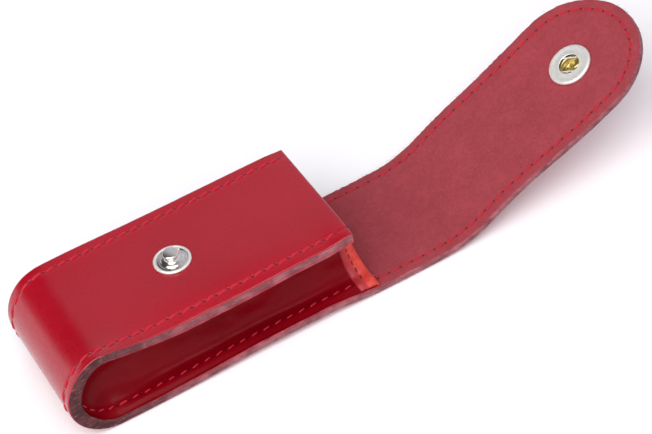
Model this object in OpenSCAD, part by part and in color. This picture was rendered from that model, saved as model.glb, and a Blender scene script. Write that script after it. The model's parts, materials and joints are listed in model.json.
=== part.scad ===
// Leather slip-in case with a long snap flap.
// One leather strip makes the front panel, the rounded bottom, the back panel and the flap.
// Two folded leather gussets close its long sides, and a spring snap fastener holds the flap.
//
// Frame: +X points out of the mouth, -Y is the near side, +Z points up through the front panel.
// The origin lies on the underside of the back panel, under the front panel's mouth edge.
// The case lies on its back with the flap open, which is its rest position.

/* [Case] */
// Width of the leather strip
case_w = 40; // [36:1:50]
// Thickness of the closed case, outside of back panel to outside of front panel
case_h = 24.8; // [22:0.2:30]
// Length from the front panel's mouth edge to the outside of the rounded bottom
case_l = 84.4; // [75:0.2:110]
// Thickness of the leather strip
strip_t = 2; // [1.8:0.1:2.4]

/* [Gussets] */
// Thickness of the gusset leather
gusset_t = 1.6; // [1.2:0.1:1.8]
// How far each gusset's web lies inside the strip's edge
gusset_depth = 8; // [7:0.5:10]
// Inside radius of the gusset's two folds
gusset_fold_r = 4; // [3:0.5:5]
// How far the gusset stands out past the front panel's mouth edge, at the back panel
gusset_lead = 4; // [2:0.5:5]
// Width of the leather binding folded over the gusset's mouth edge
binding_w = 4; // [3:0.5:5]
// Thickness of the binding on each face
binding_t = 0.7; // [0.5:0.1:0.9]

/* [Flap] */
// Distance from the front panel's mouth edge to the flap's first fold
fold_a_x = 8.1; // [7:0.1:12]
// Length of the part of the flap that crosses the mouth when it is closed
riser_l = 25.4; // [22.6:0.2:32]
// Angle to which the flap's free part is curled up when it lies open
curl_deg = 26; // [0:1:40]
// Distance from the snap's axis to the tip of the flap
tip_reach = 20.5; // [20:0.5:30]

/* [Stitching] */
// Distance of the stitch line from the leather's edge
stitch_margin = 3; // [2.5:0.1:4]
// Distance from one stitch to the next
stitch_pitch = 3.5; // [3.2:0.1:6]
// Length of thread that shows in each stitch
stitch_l = 2.6; // [2:0.1:2.8]
// Diameter of the sewing thread
thread_d = 0.5; // [0.3:0.05:0.6]

/* [Snap fastener] */
// Distance from the front panel's mouth edge to the stud's axis
stud_back = 42.6; // [30:0.2:50]
// Diameter of the stud's flange
stud_d = 10.2; // [9:0.1:12]
// Diameter of the stud's rounded head
head_d = 4.6; // [4.4:0.1:4.8]
// Diameter of the stud's neck, which the spring grips
neck_d = 3.6; // [3.4:0.1:3.6]
// Diameter of the socket and of the cap on the other face of the flap
socket_d = 12.4; // [12:0.1:14]
// Diameter of the opening in the socket
mouth_d = 5.8; // [5.4:0.1:6.2]
// Diameter of the spring wire
wire_d = 0.44; // [0.3:0.02:0.44]
// Angle of the spring wires to the length of the flap
wire_turn = -48; // [-90:1:90]

/* [Hidden] */

$fn = 72;
eps = 0.01;
cut = 1;                              // how far a cutter runs past the leather it cuts
half_w = case_w / 2;
half_h = case_h / 2;
bend_x = half_h - case_l;             // axis of the rounded bottom
flesh_inset = strip_t;                // side profile of the strip's flesh side
channel_inset = strip_t + gusset_t;   // side profile of the gusset's flange, seen in its channel
fold_gap = 0.1;                       // clearance to each side of a fold line
fold_b_x = fold_a_x + riser_l;
stitch_y = half_w - stitch_margin;
groove_w = thread_d + 0.3;
groove_t = thread_d + 0.05;
thread_w = thread_d + 0.1;
thread_skin = 0.03;                   // how far the thread lies below the leather's surface
mouth_clear = 1.2;                    // from the front panel's mouth edge to the first stitch
sole = 0.5;                           // clearance of the stitching at the gusset's mouth edge

snap_s = fold_a_x + stud_back;        // from the second fold to the snap's axis, along the flap
tip_s = snap_s + tip_reach - half_w;  // centre of the rounded tip
snap_play = 0.05;                     // clearance of the metal parts in each other and in the leather
stud_r = stud_d / 2;
stud_rim_r = 0.4;                     // radius of the roll round the stud's flange
stud_dish_t = 0.35;
stud_step_r = 3.2;                    // the raised step round the foot of the neck
stud_step_t = 0.6;
neck_r = neck_d / 2;
neck_flare = 0.3;
neck_flare_t = 0.9;
neck_top = 2.2;                       // height of the neck's top above the front panel
head_round = head_d / 2 - neck_r;     // the head's edge is a half round of this radius
rivet_r = 1.45;
rivet_bore_r = 1;
rivet_flange_r = 4.2;
rivet_flange_t = 0.6;
socket_r = socket_d / 2;
socket_t = 1.2;
socket_wall = 0.25;
socket_rim_w = 1.2;                   // width of the socket's solid rolled rim
post_r = 3;                           // outside radius of the cap's hollow post
post_bore_r = 2.55;
post_flare = 1.3;                     // how far the post is rolled out inside the socket
post_flare_t = 0.16;
post_flange_r = 5.2;
post_flange_t = 0.4;
cap_crown = 12.8;                     // radius of the cap's domed face
cap_h = 2;                            // height of the cap at its centre
wire_h = 0.7;                         // height of the spring wires above the flap's flesh side
wire_play = 0.13;                     // gap between a wire at rest and the stud's neck
wire_off = neck_r + wire_play + wire_d / 2;
wire_half = 3.7;                      // half the length of a wire

leather = [0.70, 0.14, 0.20];
leather_dark = [0.52, 0.06, 0.10];
suede = [0.66, 0.27, 0.31];
binding_red = [0.84, 0.25, 0.20];
thread_red = [0.85, 0.20, 0.28];
nickel = [0.82, 0.82, 0.80];
brass = [0.78, 0.62, 0.25];

// ---- helpers ----

// Turns an outline drawn in the X-Z plane into a solid from y0 to y1.
module across(y0, y1)
    translate([0, y1, 0])
        rotate([90, 0, 0])
            linear_extrude(y1 - y0) children();

// Side view of the case body, drawn inside the strip's outer face by inset, open up to x_end.
module side_profile(inset, x_end) {
    translate([bend_x, inset]) square([x_end - bend_x, case_h - 2 * inset]);
    translate([bend_x, half_h]) circle(r = half_h - inset);
}

// Band between two insets of the side view, from the front panel's mouth round to back_end.
module side_band(inset0, inset1, back_end) {
    intersection() {
        difference() {
            side_profile(inset0, back_end);
            side_profile(inset1, back_end + cut);
        }
        union() {
            translate([-case_l - cut, half_h])
                square([case_l + cut - mouth_clear, half_h + cut]);
            translate([-case_l - cut, -cut])
                square([case_l + back_end + cut, half_h + cut]);
        }
    }
}

// Half of the gusset's cross-section: reach is the half height of the channel, depth its depth.
module channel_half(reach, depth, fold_r)
    intersection() {
        square([reach, depth]);
        union() {
            square([reach, depth - fold_r]);
            square([reach - fold_r, depth]);
            translate([reach - fold_r, depth - fold_r]) circle(r = fold_r);
        }
    }

// Solid block that fills a channel of the near gusset, rounded like the bottom of the case.
module channel_block(reach, depth, fold_r) {
    translate([bend_x, -half_w, half_h]) {
        rotate([-90, 0, 0])
            rotate_extrude() channel_half(reach, depth, fold_r);
        rotate([90, 0, 90])
            linear_extrude(case_l) {
                rotate(90) mirror([0, 1]) channel_half(reach, depth, fold_r);
                mirror([0, 1]) rotate(90) mirror([0, 1]) channel_half(reach, depth, fold_r);
            }
    }
}

// The slanting slice of the case that lies between two distances from the gusset's mouth edge.
module mouth_slice(from, to)
    across(-half_w - cut, half_w + cut)
        polygon([
            [gusset_lead + from, strip_t], [gusset_lead + to, strip_t],
            [to - sole, case_h - strip_t], [from - sole, case_h - strip_t]
        ]);

// Places what follows on the flap's free part: x along it from the fold, z = 0 on its flesh side.
module on_flap()
    translate([fold_b_x, 0, strip_t]) rotate([0, -curl_deg, 0]) children();

// Outline of the flap's free part, or of a line that runs inside its edge.
module tongue_outline(half_width) {
    translate([fold_gap, -half_width]) square([tip_s - fold_gap, 2 * half_width]);
    translate([tip_s, 0]) circle(r = half_width);
}

// Line of the given width along the flap's stitch line.
module tongue_line(width)
    intersection() {
        difference() {
            tongue_outline(stitch_y + width / 2);
            translate([-cut, 0]) tongue_outline(stitch_y - width / 2);
            translate([0, width / 2 - stitch_y])
                square([tip_s, 2 * stitch_y - width]);
        }
        translate([fold_gap, -half_w]) square([tip_s + half_w, case_w]);
    }

// Blocks that leave a row of stitches of a thread that runs along X from x0 to x1.
module stitch_row(x0, x1, z0, z1) {
    count = round((x1 - x0) / stitch_pitch);
    step = (x1 - x0) / count;
    for (i = [0 : count - 1])
        translate([x0 + (i + 0.5) * step - stitch_l / 2, -half_w, z0])
            cube([stitch_l, case_w, z1 - z0]);
}

// The same, round an arc of the given radius from angle a0 to a1 about the Z axis.
module stitch_arc(radius, reach, a0, a1, height) {
    count = round(radius * (a1 - a0) * PI / 180 / stitch_pitch);
    step = (a1 - a0) / count;
    for (i = [0 : count - 1])
        rotate([0, 0, a0 + (i + 0.5) * step])
            translate([radius - reach, -stitch_l / 2, 0])
                cube([2 * reach, stitch_l, height]);
}

// ---- leather ----

module case_shell() color(leather) difference() {
    across(-half_w, half_w) {
        side_profile(0, 0);
        translate([bend_x, 0]) square([fold_a_x - fold_gap - bend_x, strip_t]);
    }
    across(-half_w - cut, half_w + cut) side_profile(flesh_inset, fold_a_x + cut);
    for (side = [-1, 1]) {
        across(side * stitch_y - groove_w / 2, side * stitch_y + groove_w / 2) {
            side_band(-cut, groove_t, fold_a_x);
            translate([gusset_lead + sole, strip_t - groove_t])
                square([fold_a_x, groove_t + cut]);
        }
    }
    translate([-stud_back, 0, case_h - strip_t - cut])
        cylinder(r = rivet_r + snap_play, h = strip_t + 2 * cut);
}

module gusset() color(leather_dark) difference() {
    intersection() {
        channel_block(half_h - flesh_inset, gusset_depth + gusset_t, gusset_fold_r + gusset_t);
        mouth_slice(-2 * case_l, 0);
    }
    translate([0, -eps, 0]) channel_block(half_h - channel_inset, gusset_depth + eps, gusset_fold_r);
    across(-stitch_y - groove_w / 2, -stitch_y + groove_w / 2)
        side_band(channel_inset - groove_t, half_h - cut, gusset_lead + cut);
}

module gusset_near() gusset();
module gusset_far() mirror([0, 1, 0]) gusset();

// Channel face of the binding, drawn depth below its surface.
module binding_channel(depth)
    translate([0, -eps, 0])
        channel_block(
            half_h - channel_inset - binding_t + depth,
            gusset_depth - binding_t + depth + eps,
            gusset_fold_r - binding_t + depth
        );

module gusset_binding() color(binding_red) difference() {
    intersection() {
        union() {
            channel_block(half_h - flesh_inset, gusset_depth + gusset_t, gusset_fold_r + gusset_t);
            translate([0, binding_t, 0])
                channel_block(half_h - flesh_inset, gusset_depth + gusset_t, gusset_fold_r + gusset_t);
        }
        mouth_slice(-binding_w, binding_t);
        translate([-case_l, -half_w, 0]) cube([2 * case_l, half_w, case_h]);
    }
    binding_channel(0);
    intersection() {
        channel_block(half_h - flesh_inset, gusset_depth + gusset_t, gusset_fold_r + gusset_t);
        mouth_slice(-2 * case_l, 0);
    }
    intersection() {
        binding_channel(groove_t);
        mouth_slice(-(binding_w + groove_w) / 2, -(binding_w - groove_w) / 2);
    }
}

module gusset_binding_near() gusset_binding();
module gusset_binding_far() mirror([0, 1, 0]) gusset_binding();

module flap_riser() color(suede) difference() {
    translate([fold_a_x + fold_gap, -half_w, 0])
        cube([riser_l - 2 * fold_gap, case_w, strip_t]);
    for (side = [-1, 1], z = [-cut, strip_t - groove_t])
        translate([fold_a_x, side * stitch_y - groove_w / 2, z])
            cube([riser_l, groove_w, groove_t + cut]);
}

module flap_front() color(suede) on_flap() difference() {
    translate([0, 0, -strip_t]) linear_extrude(strip_t) tongue_outline(half_w);
    translate([0, 0, -groove_t]) linear_extrude(groove_t + cut) tongue_line(groove_w);
    translate([0, 0, -strip_t - cut]) linear_extrude(groove_t + cut) tongue_line(groove_w);
    translate([snap_s, 0, -strip_t - cut])
        cylinder(r = post_r + snap_play, h = strip_t + 2 * cut);
}

// ---- thread ----

module seam_thread() color(thread_red) intersection() {
    across(-stitch_y - thread_w / 2, -stitch_y + thread_w / 2) {
        side_band(thread_skin, thread_d, fold_a_x - fold_gap);
        side_band(channel_inset - thread_d, channel_inset - thread_skin, gusset_lead - sole);
        translate([gusset_lead + 2 * sole, strip_t - thread_d])
            square([fold_a_x - gusset_lead - 2 * sole - fold_gap, thread_d - thread_skin]);
    }
    union() {
        stitch_row(bend_x, -mouth_clear, half_h, case_h);
        stitch_row(bend_x, fold_a_x - fold_gap, 0, half_h);
        translate([bend_x, -half_w, half_h])
            rotate([-90, 0, 0])
                stitch_arc(half_h - strip_t, 2 * strip_t, 90, 270, case_w);
    }
}

module seam_thread_near() seam_thread();
module seam_thread_far() mirror([0, 1, 0]) seam_thread();

module binding_thread() color(thread_red) intersection() {
    difference() {
        binding_channel(thread_d);
        binding_channel(thread_skin);
    }
    mouth_slice(-(binding_w + thread_w) / 2, -(binding_w - thread_w) / 2);
    for (i = [-2 : 2])
        translate([-case_l, -half_w, half_h + i * stitch_pitch - stitch_l / 2])
            cube([2 * case_l, gusset_depth, stitch_l]);
}

module binding_thread_near() binding_thread();
module binding_thread_far() mirror([0, 1, 0]) binding_thread();

module riser_thread() color(thread_red) intersection() {
    for (side = [-1, 1], z = [thread_skin, strip_t - thread_d])
        translate([fold_a_x + fold_gap, side * stitch_y - thread_w / 2, z])
            cube([riser_l - 2 * fold_gap, thread_w, thread_d - thread_skin]);
    stitch_row(fold_a_x + fold_gap, fold_b_x - fold_gap, 0, strip_t);
}

module flap_thread() color(thread_red) on_flap() intersection() {
    for (z = [-thread_d, thread_skin - strip_t])
        translate([0, 0, z]) linear_extrude(thread_d - thread_skin) tongue_line(thread_w);
    union() {
        stitch_row(fold_gap, tip_s, -strip_t, 0);
        translate([tip_s, 0, -strip_t]) stitch_arc(stitch_y, strip_t, -90, 90, strip_t);
    }
}

// ---- snap fastener ----

// Keeps the half of a lathe profile that lies at or outside its axis.
module right_half(size)
    intersection() {
        children();
        translate([0, -size]) square([size, 2 * size]);
    }

// Stud on the front panel: dished flange with a rolled rim, hollow neck and rounded head.
module snap_stud() color(nickel)
    translate([-stud_back, 0, case_h]) rotate_extrude() difference() {
        right_half(case_h) {
            square([stud_r - stud_rim_r, stud_dish_t]);
            translate([stud_r - stud_rim_r, stud_rim_r]) circle(r = stud_rim_r, $fn = 24);
            square([stud_step_r, stud_step_t]);
            square([neck_r + neck_flare, neck_flare_t]);
            square([neck_r, neck_top + 2 * head_round]);
            translate([neck_r, neck_top + head_round]) circle(r = head_round, $fn = 24);
        }
        square([rivet_r + snap_play, neck_top]);
    }

// Rivet that comes through the front panel from inside and holds the stud.
module stud_rivet() color(nickel)
    translate([-stud_back, 0, case_h - strip_t]) rotate_extrude() {
        translate([0, -rivet_flange_t]) square([rivet_flange_r, rivet_flange_t]);
        translate([rivet_bore_r, -eps])
            square([rivet_r - rivet_bore_r, strip_t + neck_top - 2 * snap_play]);
    }

// Socket on the flap's flesh side: a low ring with an opening across which the wires run.
module snap_socket() color(nickel)
    on_flap() translate([snap_s, 0, 0]) rotate_extrude() {
        translate([post_r + snap_play, 0])
            square([socket_r - socket_t / 2 - post_r - snap_play, socket_wall]);
        translate([mouth_d / 2, socket_t - socket_wall])
            square([socket_r - socket_t / 2 - mouth_d / 2, socket_wall]);
        translate([socket_r - socket_rim_w, 0]) square([socket_rim_w - socket_t / 2, socket_t]);
        translate([socket_r - socket_t / 2, socket_t / 2]) circle(r = socket_t / 2, $fn = 32);
    }

// One of the two straight wires of the socket's spring.
module spring_wire(side)
    on_flap() translate([snap_s, 0, wire_h])
        rotate([0, 0, wire_turn])
            translate([-wire_half, side * wire_off, 0])
                rotate([0, 90, 0])
                    cylinder(d = wire_d, h = 2 * wire_half, $fn = 24);

module socket_spring_upper() color(nickel) spring_wire(1);
module socket_spring_lower() color(nickel) spring_wire(-1);

// Low domed cap on the flap's grain side, closed over the flange of its post.
module snap_cap() color(nickel)
    on_flap() translate([snap_s, 0, -strip_t]) rotate([180, 0, 0]) rotate_extrude()
        difference() {
            intersection() {
                translate([0, cap_h - cap_crown]) circle(r = cap_crown, $fn = 180);
                square([socket_r, cap_h]);
            }
            square([post_flange_r + snap_play, post_flange_t + snap_play]);
        }

// Hollow post of the cap: it passes through the flap and is rolled out inside the socket.
module cap_post() color(brass)
    on_flap() translate([snap_s, 0, 0]) rotate_extrude() {
        translate([0, -strip_t - post_flange_t]) square([post_flange_r, post_flange_t]);
        translate([post_bore_r, -strip_t - eps])
            square([post_r - post_bore_r, strip_t + socket_wall + 2 * eps]);
        translate([post_bore_r, socket_wall + eps]) square([post_flare, post_flare_t]);
    }

// ---- nodes ----

case_shell();
gusset_near();
gusset_far();
gusset_binding_near();
gusset_binding_far();
seam_thread_near();
seam_thread_far();
binding_thread_near();
binding_thread_far();
flap_riser();
riser_thread();
flap_front();
flap_thread();
snap_stud();
stud_rivet();
snap_socket();
socket_spring_upper();
socket_spring_lower();
snap_cap();
cap_post();
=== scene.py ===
"""Visual model of a red leather slip-in case with a long snap flap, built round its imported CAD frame.

Everything is in metres in the row frame: +X out of the mouth, -Y the near side, +Z up.
One strip of leather makes the front panel, the rounded bottom, the back panel and the flap.
A place on the strip is (s, y, d): s runs along it from the front panel's mouth edge, y across it,
and d through it, from 0 on the flesh side to STRIP_T on the grain side.
"""

import json
import math

import bmesh
import bpy
import numpy as np
from mathutils import Matrix, Vector, noise


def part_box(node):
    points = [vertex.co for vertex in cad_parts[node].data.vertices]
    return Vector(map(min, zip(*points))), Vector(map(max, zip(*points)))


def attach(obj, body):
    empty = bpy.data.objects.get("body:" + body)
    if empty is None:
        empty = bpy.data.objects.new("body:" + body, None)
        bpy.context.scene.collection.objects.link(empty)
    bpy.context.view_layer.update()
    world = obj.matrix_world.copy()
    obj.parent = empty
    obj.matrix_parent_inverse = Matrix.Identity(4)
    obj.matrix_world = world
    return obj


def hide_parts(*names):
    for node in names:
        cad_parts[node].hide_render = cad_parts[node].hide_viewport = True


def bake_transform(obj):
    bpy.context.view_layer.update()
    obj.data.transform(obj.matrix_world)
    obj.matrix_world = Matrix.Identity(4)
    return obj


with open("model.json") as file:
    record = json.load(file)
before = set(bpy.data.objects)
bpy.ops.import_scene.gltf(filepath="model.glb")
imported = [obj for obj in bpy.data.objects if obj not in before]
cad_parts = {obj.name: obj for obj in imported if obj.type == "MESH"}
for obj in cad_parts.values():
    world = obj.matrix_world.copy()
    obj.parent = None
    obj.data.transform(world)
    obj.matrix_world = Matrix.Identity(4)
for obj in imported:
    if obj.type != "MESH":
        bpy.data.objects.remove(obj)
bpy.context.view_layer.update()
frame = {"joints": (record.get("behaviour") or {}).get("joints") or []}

MM = 0.001
UP = Vector((0, 0, 1))
RNG = np.random.default_rng(7)

# ---------------------------------------------------------------- sizes from the frame

JOINTS = {joint["name"]: joint for joint in frame["joints"]}
SHELL_LOW, SHELL_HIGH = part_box("case_shell")
STUD_LOW, STUD_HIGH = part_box("snap_stud")

HALF_W = SHELL_HIGH.y
CASE_H = SHELL_HIGH.z
MID_Z = CASE_H / 2
BEND_X = SHELL_LOW.x + MID_Z
FOLD_A = Vector(JOINTS["back_fold"]["pos_m"])
FOLD_B = Vector(JOINTS["front_fold"]["pos_m"])
STRIP_T = FOLD_B.z
CURL = math.radians(-JOINTS["front_fold"]["range_deg"][0])
STUD_X = (STUD_LOW.x + STUD_HIGH.x) / 2
SNAP_REACH = FOLD_A.x - STUD_X          # from the second fold to the snap, along the flap

GUSSET_T = 1.6 * MM
GUSSET_DEPTH = 8 * MM
GUSSET_LEAD = 4 * MM                    # how far the gusset stands past the front's mouth edge
STITCH_MARGIN = 3 * MM
STITCH_PITCH = 3.5 * MM
STITCH_L = 3.0 * MM
THREAD_D = 0.78 * MM                    # the needle thread, on the grain side
BOBBIN_D = 0.58 * MM                    # the finer thread on the inner side
TIP_REACH = 20.5 * MM                   # from the snap's axis to the tip

FLESH_R = MID_Z - STRIP_T
FRONT_L = -BEND_X
BEND_L = math.pi * FLESH_R
FOLD_B_S = FRONT_L + BEND_L + FOLD_B.x - BEND_X
SNAP_S = FOLD_B_S + SNAP_REACH
CAP_S = SNAP_S + TIP_REACH - HALF_W     # centre of the rounded tip
SPLIT_S = FOLD_B_S - (FOLD_B.x - FOLD_A.x) / 2      # the leather is split into two meshes here
SEAM_R = HALF_W - STITCH_MARGIN
RIM_L = 2 * CAP_S + math.pi * SEAM_R    # length of the stitch line all round the strip

CURL_L = 20 * MM                        # length of leather over which the flap curls up at rest
FLAP_BELLY = 2.1 * MM                   # how far the open flap bows up between fold and snap
NEAR_DROP = 2.0 * MM                    # how far the front panel's near edge hangs down
NEAR_CREST = 0.9 * MM                   # how far that edge stands up where the bend starts
FAR_LIFT = 0.8 * MM                     # how far the front panel's far edge stands up
BACK_LIFT = 1.35 * MM                   # how far the back panel's edges stand off the floor
TIP_CURL = 2.0 * MM                     # how far the open flap's far edge curls up beside the snap
BELLY_START = FOLD_B_S - 16 * MM        # the flap's bow begins here
BELLY_END = SNAP_S - 5 * MM             # and ends here
TIP_CURL_START = FOLD_B_S + 18 * MM     # the far edge begins to curl here
TIP_CURL_RUN = 30 * MM                  # and reaches its full curl over this distance


def mix(a, b, t):
    """Straight blend from a to b."""
    return a + (b - a) * t


def smooth(t):
    """Smooth step of t from 0 to 1."""
    t = np.clip(t, 0, 1)
    return t * t * (3 - 2 * t)


def wave_noise(x, y, z, scale):
    """Smooth noise in about -1 to 1 at a place in metres, with features of about the given size."""
    return noise.noise(Vector((x, y, z)) / scale)


# ---------------------------------------------------------------- the strip's course

def heading(s):
    """Angle of the strip's course in the X-Z plane, at arc length s."""
    turn = math.pi * np.clip((s - FRONT_L) / BEND_L, 0, 1)
    curl = CURL * smooth((s - FOLD_B_S) / CURL_L + 0.5)
    return math.pi + turn + curl


def make_course(step=0.1 * MM):
    """Table of s against x, z on the strip's flesh side, summed from the heading."""
    s = np.arange(0, CAP_S + HALF_W + 2 * step, step)
    middle = heading(s[:-1] + step / 2)
    x = np.concatenate([[0], np.cumsum(np.cos(middle) * step)])
    z = np.concatenate([[0], np.cumsum(np.sin(middle) * step)]) + CASE_H - STRIP_T
    return s, x, z


COURSE_S, COURSE_X, COURSE_Z = make_course()


def flap_rise(s, y):
    """Rise of the open flap: it bows up between the fold and the snap, and its far edge curls up."""
    t = np.clip((s - BELLY_START) / (BELLY_END - BELLY_START), 0, 1)
    belly = FLAP_BELLY * math.sin(math.pi * t) ** 2
    curl = TIP_CURL * max(y / HALF_W, 0) ** 2 * smooth((s - TIP_CURL_START) / TIP_CURL_RUN)
    return belly + curl


def bell(value, centre, width):
    """Bell curve of height 1."""
    return math.exp(-(((value - centre) / width) ** 2))


def near_edge_drop(s):
    """Drop of the front panel's near edge: it hangs between the mouth and the bend."""
    from_mouth = 0.2 + 0.45 * smooth(s / (8 * MM)) + 0.35 * smooth((s - 12 * MM) / (24 * MM))
    to_bend = 1 - smooth((s - 48 * MM) / (24 * MM))
    return NEAR_DROP * from_mouth * to_bend - NEAR_CREST * bell(s, 73 * MM, 6 * MM)


def far_edge_rise(s):
    """Rise of the front panel's far edge, most of it before the bend."""
    return FAR_LIFT * (0.5 + 0.5 * bell(s, 65 * MM, 14 * MM)) * smooth(s / (6 * MM))


def back_edge_lift(s):
    """How far the back panel's edges stand off the floor."""
    x = s - FRONT_L - BEND_L + BEND_X
    return BACK_LIFT * smooth((x + 62 * MM) / (38 * MM)) * (1 - smooth((x + 12 * MM) / (18 * MM)))


def shell_rise(s, y):
    """How far the case's leather stands outside its plain shape at this place."""
    if s > FRONT_L + BEND_L / 2:
        return -back_edge_lift(s) * (y / HALF_W) ** 4
    fade = 1 - smooth((s - FRONT_L - 4 * MM) / (10 * MM))
    if y < 0:
        return -fade * near_edge_drop(s) * (y / HALF_W) ** 4
    return fade * far_edge_rise(s) * (y / HALF_W) ** 3


def strip_point(s, y, d):
    """Place in the row frame of a point of the strip."""
    x = np.interp(s, COURSE_S, COURSE_X)
    z = np.interp(s, COURSE_S, COURSE_Z)
    angle = float(heading(s))
    out_x, out_z = math.sin(angle), -math.cos(angle)
    rise = d + shell_rise(s, y) - flap_rise(s, y)
    return Vector((x + out_x * rise, y, z + out_z * rise))


def rim_place(c, r):
    """(s, y) at station c along the stitch line, r from the strip's middle line or the tip's centre."""
    if c <= CAP_S:
        return c, -r
    if c >= RIM_L - CAP_S:
        return RIM_L - c, r
    angle = (c - CAP_S) / SEAM_R - math.pi / 2
    return CAP_S + r * math.cos(angle), r * math.sin(angle)


def rim_point(c, r, d):
    """Place in the row frame at the station c and distance r of rim_place, and at depth d."""
    return strip_point(*rim_place(c, r), d)


# ---------------------------------------------------------------- mesh helpers

GRAIN, FLESH, EDGE = range(3)           # material slots of a piece of leather


def new_object(name, data):
    """Links a new object with this data to the scene."""
    obj = bpy.data.objects.new(name, data)
    bpy.context.scene.collection.objects.link(obj)
    return obj


def make_object(name, bm, finishes, smooth_angle=40):
    """Turns a bmesh into an object with these finishes, smooth below the given angle."""
    mesh = bpy.data.meshes.new(name)
    bm.to_mesh(mesh)
    bm.free()
    obj = new_object(name, mesh)
    for finish in finishes:
        mesh.materials.append(MATERIALS[finish])
    mesh.shade_smooth()
    mesh.set_sharp_from_angle(angle=math.radians(smooth_angle))
    return obj


class GridMesh:
    """Collects faces with two UV maps: Leather in metres, and Seam in stitches along and mm across."""

    def __init__(self):
        self.bm = bmesh.new()
        self.leather = self.bm.loops.layers.uv.new("Leather")
        self.seam = self.bm.loops.layers.uv.new("Seam")
        self.coords = {}

    def vertex(self, place, leather, seam):
        """Adds one vertex that carries its own coordinates for both UV maps."""
        v = self.bm.verts.new(place)
        self.coords[v] = (leather, seam)
        return v

    def face(self, corners, material):
        """Adds a face unless its corners coincide."""
        corners = [v for i, v in enumerate(corners) if v is not corners[i - 1]]
        if len(corners) < 3:
            return
        f = self.bm.faces.new(corners)
        f.material_index = material
        for loop in f.loops:
            leather, seam = self.coords[loop.vert]
            loop[self.leather].uv = leather
            loop[self.seam].uv = seam

    def rows(self, rows, materials, close=False):
        """Joins neighbouring rows of vertices; materials gives the slot of each strip between columns."""
        for a, b in zip(rows, rows[1:]):
            last = len(a) if close else len(a) - 1
            for j in range(last):
                k = (j + 1) % len(a)
                self.face([a[j], a[k], b[k], b[j]], materials[j])

    def cap(self, row, material):
        """Closes the end of a tube whose row goes out along one face and comes back along the other."""
        j, k = 0, len(row) - 1
        while k - j >= 2:
            self.face([row[j], row[j + 1], row[k - 1], row[k]], material)
            j, k = j + 1, k - 1

    def finish(self):
        """Welds coinciding vertices and turns every face outwards."""
        bmesh.ops.remove_doubles(self.bm, verts=self.bm.verts, dist=0.004 * MM)
        bmesh.ops.recalc_face_normals(self.bm, faces=self.bm.faces)
        return self.bm


TURNED_SIDES = 96


def lathe(profile):
    """Solid of revolution about Z of a closed profile of (radius, height) in mm, with a UV map."""
    bm = bmesh.new()
    uv = bm.loops.layers.uv.new("Leather")
    rings = []
    for i in range(TURNED_SIDES):
        turn = 2 * math.pi * i / TURNED_SIDES
        rings.append([
            bm.verts.new((r * MM * math.cos(turn), r * MM * math.sin(turn), h * MM)) for r, h in profile
        ])
    for i in range(TURNED_SIDES):
        a, b = rings[i], rings[(i + 1) % TURNED_SIDES]
        for j in range(len(profile)):
            k = (j + 1) % len(profile)
            f = bm.faces.new([a[j], b[j], b[k], a[k]])
            for loop in f.loops:
                loop[uv].uv = (loop.vert.co.x, loop.vert.co.y)
    bmesh.ops.remove_doubles(bm, verts=bm.verts, dist=0.002 * MM)
    bmesh.ops.recalc_face_normals(bm, faces=bm.faces)
    return bm


def arc(cx, cy, radius, start, end, count):
    """Points of an arc in profile coordinates, angles in degrees."""
    return [
        (cx + radius * math.cos(math.radians(a)), cy + radius * math.sin(math.radians(a)))
        for a in np.linspace(start, end, count)
    ]


def tube_ring(bm, point, across, up, radius, angles):
    """Ring of vertices round a point of a tube, in the plane of across and up."""
    return [bm.verts.new(point + across * (radius * math.cos(a)) + up * (radius * math.sin(a)))
            for a in angles]


def skin(bm, rings):
    """Skins a tube over rings of vertices and closes both ends; returns its wall faces, ring by ring."""
    walls = []
    for a, b in zip(rings, rings[1:]):
        for k in range(len(a)):
            n = (k + 1) % len(a)
            walls.append(bm.faces.new([a[k], a[n], b[n], b[k]]))
    bm.faces.new(list(reversed(rings[0])))
    bm.faces.new(rings[-1])
    return walls


# ---------------------------------------------------------------- materials

def new_material(name):
    """Empty node material: returns it, its tree and its Principled shader."""
    material = bpy.data.materials.new(name)
    material.use_nodes = True
    tree = material.node_tree
    return material, tree, tree.nodes["Principled BSDF"]


def feed(tree, socket, value):
    """Links an input to a socket, or gives it a constant."""
    if isinstance(value, bpy.types.NodeSocket):
        tree.links.new(value, socket)
    else:
        socket.default_value = value


def set_inputs(tree, node, **inputs):
    """Links or sets a node's inputs, by name."""
    for key, value in inputs.items():
        feed(tree, node.inputs[key.replace("_", " ")], value)


def add(tree, kind, settings=None, **inputs):
    """Adds a node, with attributes from settings and sockets, by name, from inputs."""
    node = tree.nodes.new(kind)
    for key, value in (settings or {}).items():
        setattr(node, key, value)
    set_inputs(tree, node, **inputs)
    return node


def math_node(tree, operation, a, b=0.0, c=0.0):
    """Result of one maths operation on up to three sockets or numbers."""
    node = tree.nodes.new("ShaderNodeMath")
    node.operation = operation
    for socket, value in zip(node.inputs, (a, b, c)):
        feed(tree, socket, value)
    return node.outputs[0]


def noise_node(tree, vector, scale, detail=4.0, roughness=0.55, distortion=0.0):
    """Noise factor at this scale of the given vector."""
    node = add(tree, "ShaderNodeTexNoise", Vector=vector, Scale=scale, Detail=detail,
               Roughness=roughness, Distortion=distortion)
    return node.outputs["Fac"]


def mix_colour(tree, factor, a, b):
    """Colour mix of two colours or sockets."""
    node = tree.nodes.new("ShaderNodeMix")
    node.data_type = "RGBA"
    for socket, value in zip((node.inputs[0], node.inputs[6], node.inputs[7]), (factor, a, b)):
        if isinstance(value, bpy.types.NodeSocket):
            tree.links.new(value, socket)
        else:
            socket.default_value = value if isinstance(value, float) else (*value, 1.0)
    return node.outputs[2]


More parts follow.
